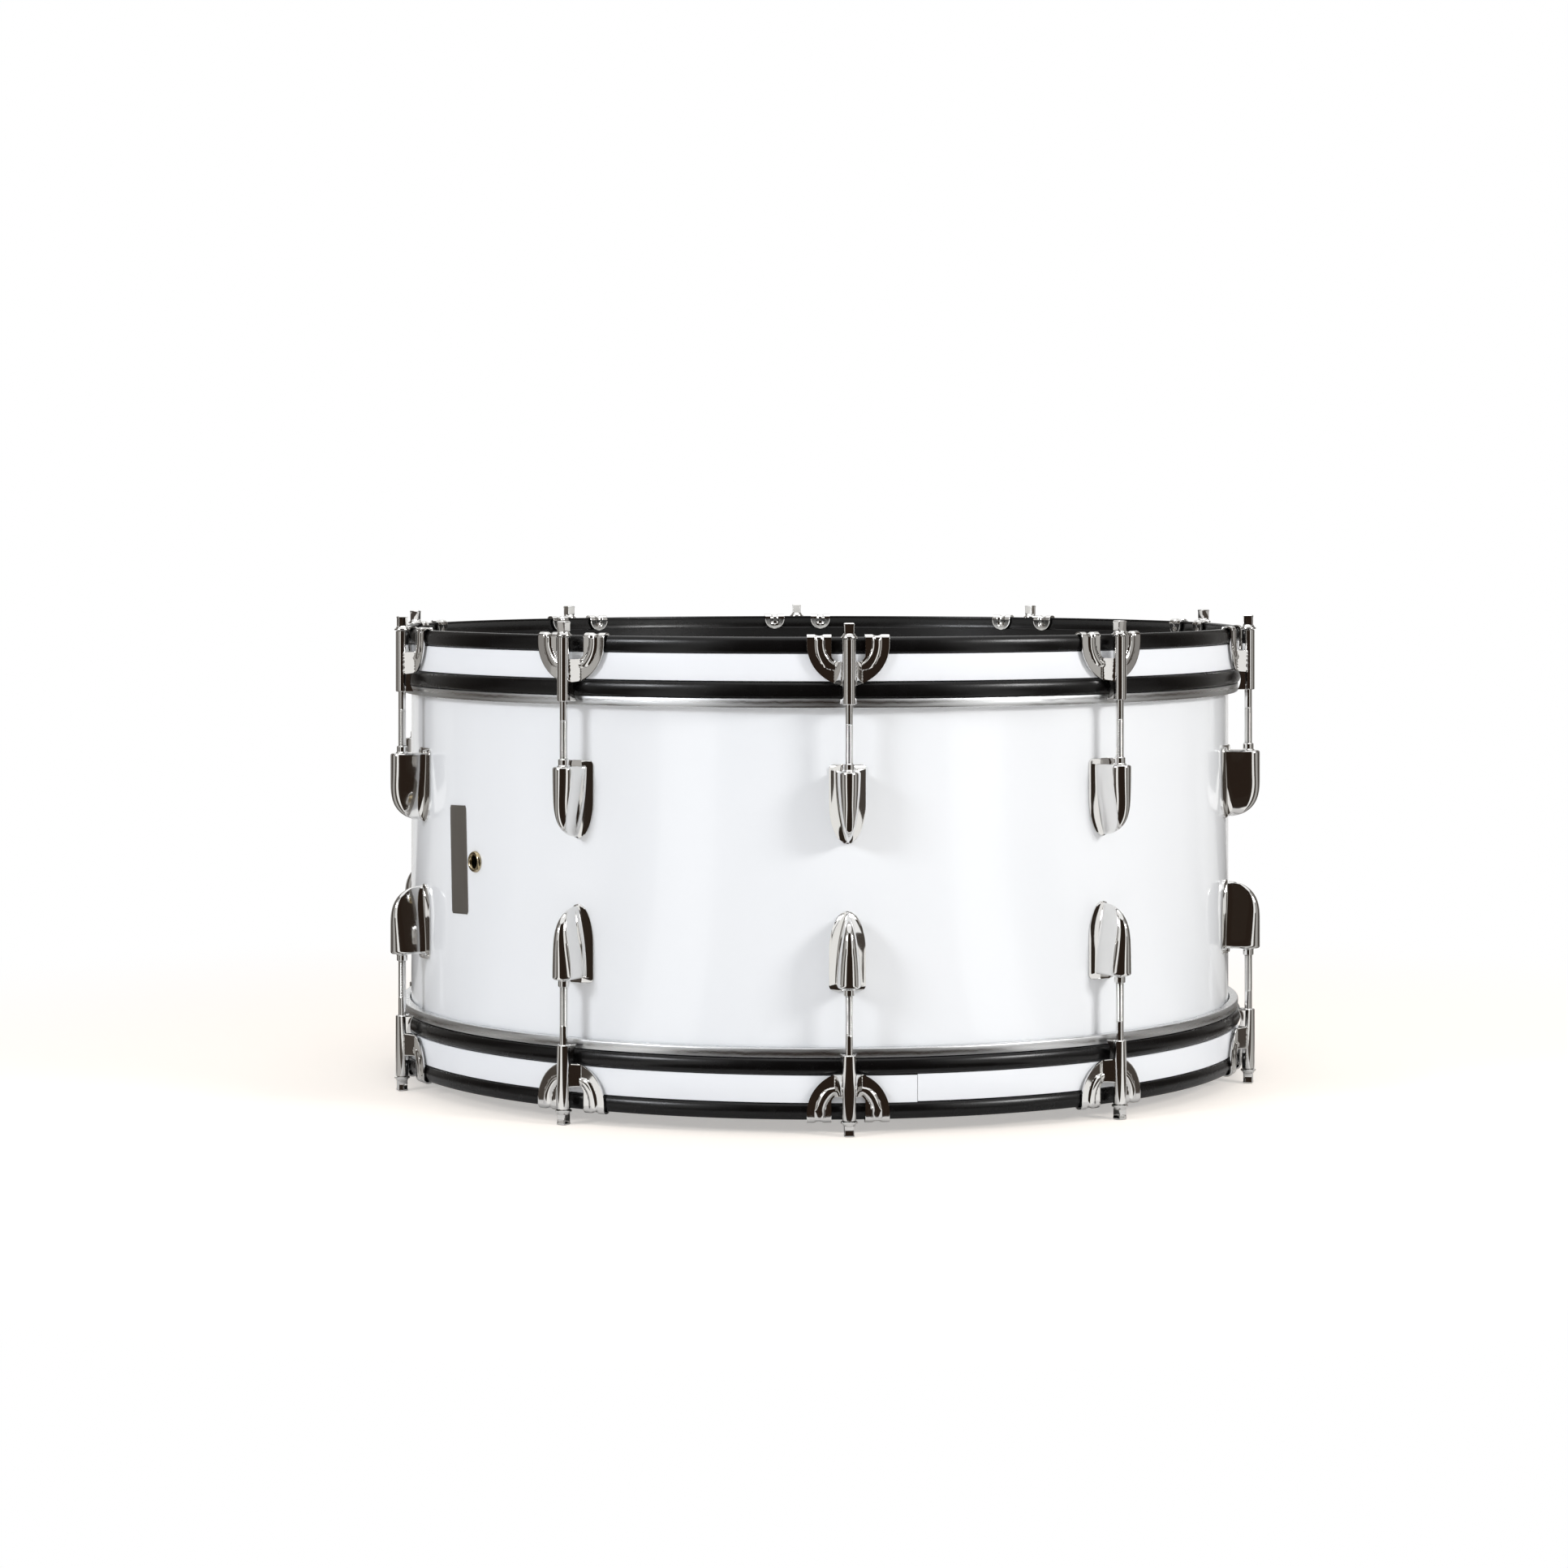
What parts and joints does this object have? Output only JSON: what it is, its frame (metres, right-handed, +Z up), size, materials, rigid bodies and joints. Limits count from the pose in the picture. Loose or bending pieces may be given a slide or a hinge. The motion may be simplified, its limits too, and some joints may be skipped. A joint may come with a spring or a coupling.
{
  "type": "marching bass drum",
  "caption": "Double-headed marching bass drum: white shell, black rolled hoops with inlay, and chrome claws, tension rods and lugs at both heads.",
  "frame": {"origin": "on the drum's axis, at the height of the lower tension rods' ends, on which it stands", "axes": "+Z up along the drum's axis; -Y points at the station that faces front"},
  "size_m": [0.5772, 0.6068, 0.3126],
  "materials": {
    "shell": "gloss white lacquer",
    "head_film": "smooth white",
    "flesh_hoop": "bright",
    "hoop": "gloss black",
    "inlay": "cool white",
    "vent": "nickel plated",
    "badge": "dark grey, bare",
    "chrome": "polished"
  },
  "bodies": {
    "drum": {"shell": "shell", "top_head": "head_film", "top_flesh_hoop": "flesh_hoop", "top_hoop": "hoop", "top_hoop_inlay": "inlay", "bottom_head": "head_film", "bottom_flesh_hoop": "flesh_hoop", "bottom_hoop": "hoop", "bottom_hoop_inlay": "inlay", "vent_grommet": "vent", "badge_plate": "badge"},
    "top_claw_01": {"top_claw_01": "chrome"},
    "top_rod_01": {"top_rod_01": "chrome"},
    "top_claw_02": {"top_claw_02": "chrome"},
    "top_rod_02": {"top_rod_02": "chrome"},
    "top_claw_03": {"top_claw_03": "chrome"},
    "top_rod_03": {"top_rod_03": "chrome"},
    "top_claw_04": {"top_claw_04": "chrome"},
    "top_rod_04": {"top_rod_04": "chrome"},
    "top_claw_05": {"top_claw_05": "chrome"},
    "top_rod_05": {"top_rod_05": "chrome"},
    "top_claw_06": {"top_claw_06": "chrome"},
    "top_rod_06": {"top_rod_06": "chrome"},
    "top_claw_07": {"top_claw_07": "chrome"},
    "top_rod_07": {"top_rod_07": "chrome"},
    "top_claw_08": {"top_claw_08": "chrome"},
    "top_rod_08": {"top_rod_08": "chrome"},
    "top_claw_09": {"top_claw_09": "chrome"},
    "top_rod_09": {"top_rod_09": "chrome"},
    "top_claw_10": {"top_claw_10": "chrome"},
    "top_rod_10": {"top_rod_10": "chrome"},
    "bottom_claw_01": {"bottom_claw_01": "chrome"},
    "bottom_rod_01": {"bottom_rod_01": "chrome"},
    "bottom_claw_02": {"bottom_claw_02": "chrome"},
    "bottom_rod_02": {"bottom_rod_02": "chrome"},
    "bottom_claw_03": {"bottom_claw_03": "chrome"},
    "bottom_rod_03": {"bottom_rod_03": "chrome"},
    "bottom_claw_04": {"bottom_claw_04": "chrome"},
    "bottom_rod_04": {"bottom_rod_04": "chrome"},
    "bottom_claw_05": {"bottom_claw_05": "chrome"},
    "bottom_rod_05": {"bottom_rod_05": "chrome"},
    "bottom_claw_06": {"bottom_claw_06": "chrome"},
    "bottom_rod_06": {"bottom_rod_06": "chrome"},
    "bottom_claw_07": {"bottom_claw_07": "chrome"},
    "bottom_rod_07": {"bottom_rod_07": "chrome"},
    "bottom_claw_08": {"bottom_claw_08": "chrome"},
    "bottom_rod_08": {"bottom_rod_08": "chrome"},
    "bottom_claw_09": {"bottom_claw_09": "chrome"},
    "bottom_rod_09": {"bottom_rod_09": "chrome"},
    "bottom_claw_10": {"bottom_claw_10": "chrome"},
    "bottom_rod_10": {"bottom_rod_10": "chrome"}
  },
  "joints": [
    {"name": "top_claw_01_slide", "type": "slide", "parent": "drum", "child": "top_claw_01", "axis": [0, 0, 1], "range_m": [0, 0.01058]},
    {"name": "top_rod_01_turn", "type": "hinge", "parent": "top_claw_01", "child": "top_rod_01", "pos_m": [0, -0.2957, 0.2543], "axis": [0, 0, 1], "range_deg": [0, 3600]},
    {"name": "top_claw_02_slide", "type": "slide", "parent": "drum", "child": "top_claw_02", "axis": [0, 0, 1], "range_m": [0, 0.01058]},
    {"name": "top_rod_02_turn", "type": "hinge", "parent": "top_claw_02", "child": "top_rod_02", "pos_m": [0.17381, -0.23923, 0.2543], "axis": [0, 0, 1], "range_deg": [0, 3600]},
    {"name": "top_claw_03_slide", "type": "slide", "parent": "drum", "child": "top_claw_03", "axis": [0, 0, 1], "range_m": [0, 0.01058]},
    {"name": "top_rod_03_turn", "type": "hinge", "parent": "top_claw_03", "child": "top_rod_03", "pos_m": [0.28123, -0.09138, 0.2543], "axis": [0, 0, 1], "range_deg": [0, 3600]},
    {"name": "top_claw_04_slide", "type": "slide", "parent": "drum", "child": "top_claw_04", "axis": [0, 0, 1], "range_m": [0, 0.01058]},
    {"name": "top_rod_04_turn", "type": "hinge", "parent": "top_claw_04", "child": "top_rod_04", "pos_m": [0.28123, 0.09138, 0.2543], "axis": [0, 0, 1], "range_deg": [0, 3600]},
    {"name": "top_claw_05_slide", "type": "slide", "parent": "drum", "child": "top_claw_05", "axis": [0, 0, 1], "range_m": [0, 0.01058]},
    {"name": "top_rod_05_turn", "type": "hinge", "parent": "top_claw_05", "child": "top_rod_05", "pos_m": [0.17381, 0.23923, 0.2543], "axis": [0, 0, 1], "range_deg": [0, 3600]},
    {"name": "top_claw_06_slide", "type": "slide", "parent": "drum", "child": "top_claw_06", "axis": [0, 0, 1], "range_m": [0, 0.01058]},
    {"name": "top_rod_06_turn", "type": "hinge", "parent": "top_claw_06", "child": "top_rod_06", "pos_m": [0, 0.2957, 0.2543], "axis": [0, 0, 1], "range_deg": [0, 3600]},
    {"name": "top_claw_07_slide", "type": "slide", "parent": "drum", "child": "top_claw_07", "axis": [0, 0, 1], "range_m": [0, 0.01058]},
    {"name": "top_rod_07_turn", "type": "hinge", "parent": "top_claw_07", "child": "top_rod_07", "pos_m": [-0.17381, 0.23923, 0.2543], "axis": [0, 0, 1], "range_deg": [0, 3600]},
    {"name": "top_claw_08_slide", "type": "slide", "parent": "drum", "child": "top_claw_08", "axis": [0, 0, 1], "range_m": [0, 0.01058]},
    {"name": "top_rod_08_turn", "type": "hinge", "parent": "top_claw_08", "child": "top_rod_08", "pos_m": [-0.28123, 0.09138, 0.2543], "axis": [0, 0, 1], "range_deg": [0, 3600]},
    {"name": "top_claw_09_slide", "type": "slide", "parent": "drum", "child": "top_claw_09", "axis": [0, 0, 1], "range_m": [0, 0.01058]},
    {"name": "top_rod_09_turn", "type": "hinge", "parent": "top_claw_09", "child": "top_rod_09", "pos_m": [-0.28123, -0.09138, 0.2543], "axis": [0, 0, 1], "range_deg": [0, 3600]},
    {"name": "top_claw_10_slide", "type": "slide", "parent": "drum", "child": "top_claw_10", "axis": [0, 0, 1], "range_m": [0, 0.01058]},
    {"name": "top_rod_10_turn", "type": "hinge", "parent": "top_claw_10", "child": "top_rod_10", "pos_m": [-0.17381, -0.23923, 0.2543], "axis": [0, 0, 1], "range_deg": [0, 3600]},
    {"name": "bottom_claw_01_slide", "type": "slide", "parent": "drum", "child": "bottom_claw_01", "axis": [0, 0, -1], "range_m": [0, 0.01058]},
    {"name": "bottom_rod_01_turn", "type": "hinge", "parent": "bottom_claw_01", "child": "bottom_rod_01", "pos_m": [0, -0.2957, 0.0583], "axis": [0, 0, -1], "range_deg": [0, 3600]},
    {"name": "bottom_claw_02_slide", "type": "slide", "parent": "drum", "child": "bottom_claw_02", "axis": [0, 0, -1], "range_m": [0, 0.01058]},
    {"name": "bottom_rod_02_turn", "type": "hinge", "parent": "bottom_claw_02", "child": "bottom_rod_02", "pos_m": [0.17381, -0.23923, 0.0583], "axis": [0, 0, -1], "range_deg": [0, 3600]},
    {"name": "bottom_claw_03_slide", "type": "slide", "parent": "drum", "child": "bottom_claw_03", "axis": [0, 0, -1], "range_m": [0, 0.01058]},
    {"name": "bottom_rod_03_turn", "type": "hinge", "parent": "bottom_claw_03", "child": "bottom_rod_03", "pos_m": [0.28123, -0.09138, 0.0583], "axis": [0, 0, -1], "range_deg": [0, 3600]},
    {"name": "bottom_claw_04_slide", "type": "slide", "parent": "drum", "child": "bottom_claw_04", "axis": [0, 0, -1], "range_m": [0, 0.01058]},
    {"name": "bottom_rod_04_turn", "type": "hinge", "parent": "bottom_claw_04", "child": "bottom_rod_04", "pos_m": [0.28123, 0.09138, 0.0583], "axis": [0, 0, -1], "range_deg": [0, 3600]},
    {"name": "bottom_claw_05_slide", "type": "slide", "parent": "drum", "child": "bottom_claw_05", "axis": [0, 0, -1], "range_m": [0, 0.01058]},
    {"name": "bottom_rod_05_turn", "type": "hinge", "parent": "bottom_claw_05", "child": "bottom_rod_05", "pos_m": [0.17381, 0.23923, 0.0583], "axis": [0, 0, -1], "range_deg": [0, 3600]},
    {"name": "bottom_claw_06_slide", "type": "slide", "parent": "drum", "child": "bottom_claw_06", "axis": [0, 0, -1], "range_m": [0, 0.01058]},
    {"name": "bottom_rod_06_turn", "type": "hinge", "parent": "bottom_claw_06", "child": "bottom_rod_06", "pos_m": [0, 0.2957, 0.0583], "axis": [0, 0, -1], "range_deg": [0, 3600]},
    {"name": "bottom_claw_07_slide", "type": "slide", "parent": "drum", "child": "bottom_claw_07", "axis": [0, 0, -1], "range_m": [0, 0.01058]},
    {"name": "bottom_rod_07_turn", "type": "hinge", "parent": "bottom_claw_07", "child": "bottom_rod_07", "pos_m": [-0.17381, 0.23923, 0.0583], "axis": [0, 0, -1], "range_deg": [0, 3600]},
    {"name": "bottom_claw_08_slide", "type": "slide", "parent": "drum", "child": "bottom_claw_08", "axis": [0, 0, -1], "range_m": [0, 0.01058]},
    {"name": "bottom_rod_08_turn", "type": "hinge", "parent": "bottom_claw_08", "child": "bottom_rod_08", "pos_m": [-0.28123, 0.09138, 0.0583], "axis": [0, 0, -1], "range_deg": [0, 3600]},
    {"name": "bottom_claw_09_slide", "type": "slide", "parent": "drum", "child": "bottom_claw_09", "axis": [0, 0, -1], "range_m": [0, 0.01058]},
    {"name": "bottom_rod_09_turn", "type": "hinge", "parent": "bottom_claw_09", "child": "bottom_rod_09", "pos_m": [-0.28123, -0.09138, 0.0583], "axis": [0, 0, -1], "range_deg": [0, 3600]},
    {"name": "bottom_claw_10_slide", "type": "slide", "parent": "drum", "child": "bottom_claw_10", "axis": [0, 0, -1], "range_m": [0, 0.01058]},
    {"name": "bottom_rod_10_turn", "type": "hinge", "parent": "bottom_claw_10", "child": "bottom_rod_10", "pos_m": [-0.17381, -0.23923, 0.0583], "axis": [0, 0, -1], "range_deg": [0, 3600]}
  ],
  "couplings": [
    {"joint": "top_rod_01_turn", "follows": "top_claw_01_slide", "rad_per_m": 5938.7},
    {"joint": "top_rod_02_turn", "follows": "top_claw_02_slide", "rad_per_m": 5938.7},
    {"joint": "top_rod_03_turn", "follows": "top_claw_03_slide", "rad_per_m": 5938.7},
    {"joint": "top_rod_04_turn", "follows": "top_claw_04_slide", "rad_per_m": 5938.7},
    {"joint": "top_rod_05_turn", "follows": "top_claw_05_slide", "rad_per_m": 5938.7},
    {"joint": "top_rod_06_turn", "follows": "top_claw_06_slide", "rad_per_m": 5938.7},
    {"joint": "top_rod_07_turn", "follows": "top_claw_07_slide", "rad_per_m": 5938.7},
    {"joint": "top_rod_08_turn", "follows": "top_claw_08_slide", "rad_per_m": 5938.7},
    {"joint": "top_rod_09_turn", "follows": "top_claw_09_slide", "rad_per_m": 5938.7},
    {"joint": "top_rod_10_turn", "follows": "top_claw_10_slide", "rad_per_m": 5938.7},
    {"joint": "bottom_rod_01_turn", "follows": "bottom_claw_01_slide", "rad_per_m": 5938.7},
    {"joint": "bottom_rod_02_turn", "follows": "bottom_claw_02_slide", "rad_per_m": 5938.7},
    {"joint": "bottom_rod_03_turn", "follows": "bottom_claw_03_slide", "rad_per_m": 5938.7},
    {"joint": "bottom_rod_04_turn", "follows": "bottom_claw_04_slide", "rad_per_m": 5938.7},
    {"joint": "bottom_rod_05_turn", "follows": "bottom_claw_05_slide", "rad_per_m": 5938.7},
    {"joint": "bottom_rod_06_turn", "follows": "bottom_claw_06_slide", "rad_per_m": 5938.7},
    {"joint": "bottom_rod_07_turn", "follows": "bottom_claw_07_slide", "rad_per_m": 5938.7},
    {"joint": "bottom_rod_08_turn", "follows": "bottom_claw_08_slide", "rad_per_m": 5938.7},
    {"joint": "bottom_rod_09_turn", "follows": "bottom_claw_09_slide", "rad_per_m": 5938.7},
    {"joint": "bottom_rod_10_turn", "follows": "bottom_claw_10_slide", "rad_per_m": 5938.7}
  ]
}
